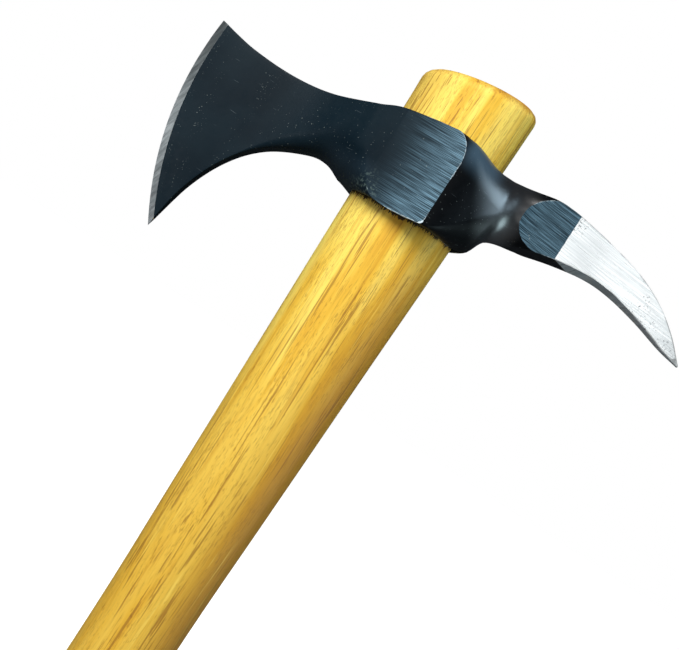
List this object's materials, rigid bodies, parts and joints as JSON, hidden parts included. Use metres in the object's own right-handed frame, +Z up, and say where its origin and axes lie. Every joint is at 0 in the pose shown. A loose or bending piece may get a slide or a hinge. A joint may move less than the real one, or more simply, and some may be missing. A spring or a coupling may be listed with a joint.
{
  "type": "hand axe with pick poll",
  "caption": "Small forged hand axe: flared, bearded blade on one side of a tapered eye, curved pointed pick on the other, slipped onto a round tapered wooden haft.",
  "frame": {"origin": "middle of the haft's flat butt face, on the haft's axis", "axes": "+Z up the haft towards the head, -X towards the blade's cutting edge, +X towards the pick's point, Y square to the plane in which the head is symmetric"},
  "size_m": [0.1882, 0.053, 0.3532],
  "materials": {
    "black_paint": "thin semi-gloss blue-black paint on forged steel, ground bright along the cutting edge and bare over the pick's outer half",
    "oiled_wood": "straight-grained yellow-ochre hardwood, oiled, with fine dark pores and smudges under the head"
  },
  "bodies": {
    "haft": {"haft": "oiled_wood"},
    "head": {"axe_head": "black_paint"}
  },
  "joints": [
    {"name": "head_slide", "type": "slide", "parent": "haft", "child": "head", "axis": [0, 0, -1], "range_m": [0, 0.12]}
  ]
}
